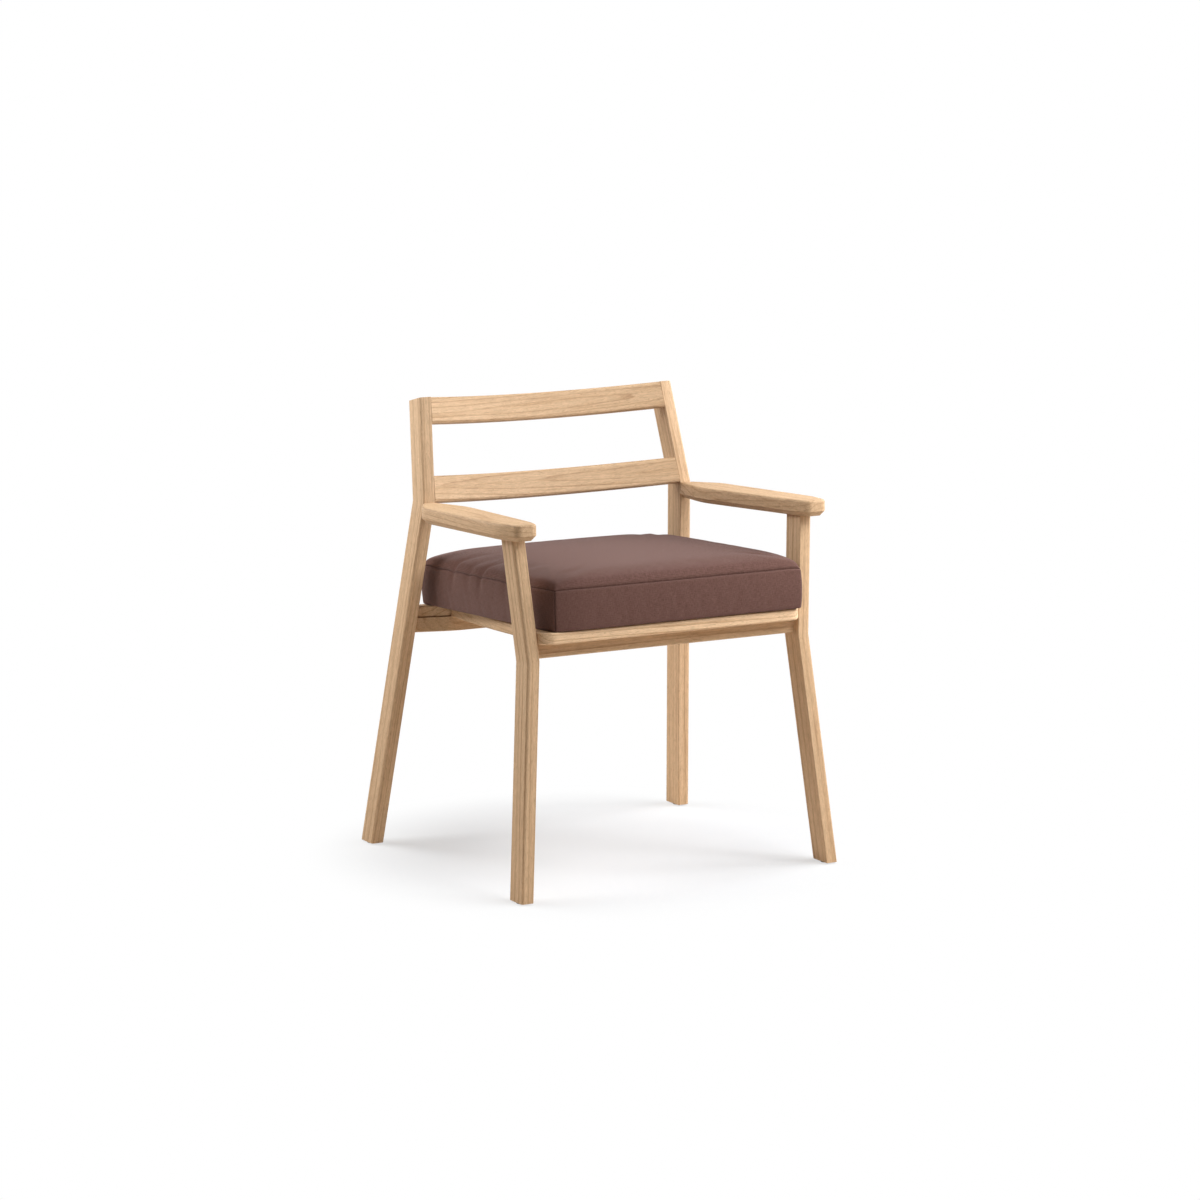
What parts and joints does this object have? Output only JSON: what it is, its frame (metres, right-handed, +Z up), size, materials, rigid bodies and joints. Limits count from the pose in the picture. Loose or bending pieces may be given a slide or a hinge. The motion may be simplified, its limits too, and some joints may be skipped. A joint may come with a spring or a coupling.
{
  "type": "dining armchair",
  "caption": "Low-backed dining armchair in solid wood: splayed bent legs, bowed back rails, shaped armrests and a slatted seat with a loose fabric box cushion.",
  "frame": {"origin": "on the floor, at the middle of the chair's width and depth", "axes": "+Z up, the chair faces -Y, +X to the right of someone looking at its front"},
  "size_m": [0.6142, 0.5353, 0.7498],
  "materials": {
    "wood_frame": "satin",
    "cushion_fabric": "matte",
    "cushion_filling": "matte",
    "glide_plastic": "matte",
    "screw_steel": "satin"
  },
  "bodies": {
    "frame": {"front_leg_left": "wood_frame", "front_leg_right": "wood_frame", "rear_leg_left": "wood_frame", "rear_leg_right": "wood_frame", "lower_back_rail": "wood_frame", "top_back_rail": "wood_frame", "armrest_left": "wood_frame", "armrest_right": "wood_frame", "front_apron": "wood_frame", "rear_apron": "wood_frame", "seat_front_board": "wood_frame", "seat_rear_board": "wood_frame", "seat_side_board_left": "wood_frame", "seat_side_board_right": "wood_frame", "seat_slat_1": "wood_frame", "seat_slat_2": "wood_frame", "seat_slat_3": "wood_frame", "seat_slat_4": "wood_frame", "seat_slat_5": "wood_frame", "seat_slat_6": "wood_frame", "front_glide_left": "glide_plastic", "front_glide_right": "glide_plastic", "rear_glide_left": "glide_plastic", "rear_glide_right": "glide_plastic", "seat_screws": "screw_steel"},
    "cushion": {"cushion_cover": "cushion_fabric", "cushion_foam": "cushion_filling"}
  },
  "joints": [
    {"name": "cushion_slide", "type": "slide", "parent": "frame", "child": "cushion", "axis": [0, -0.9848, 0.1736], "range_m": [0, 0.45]}
  ]
}
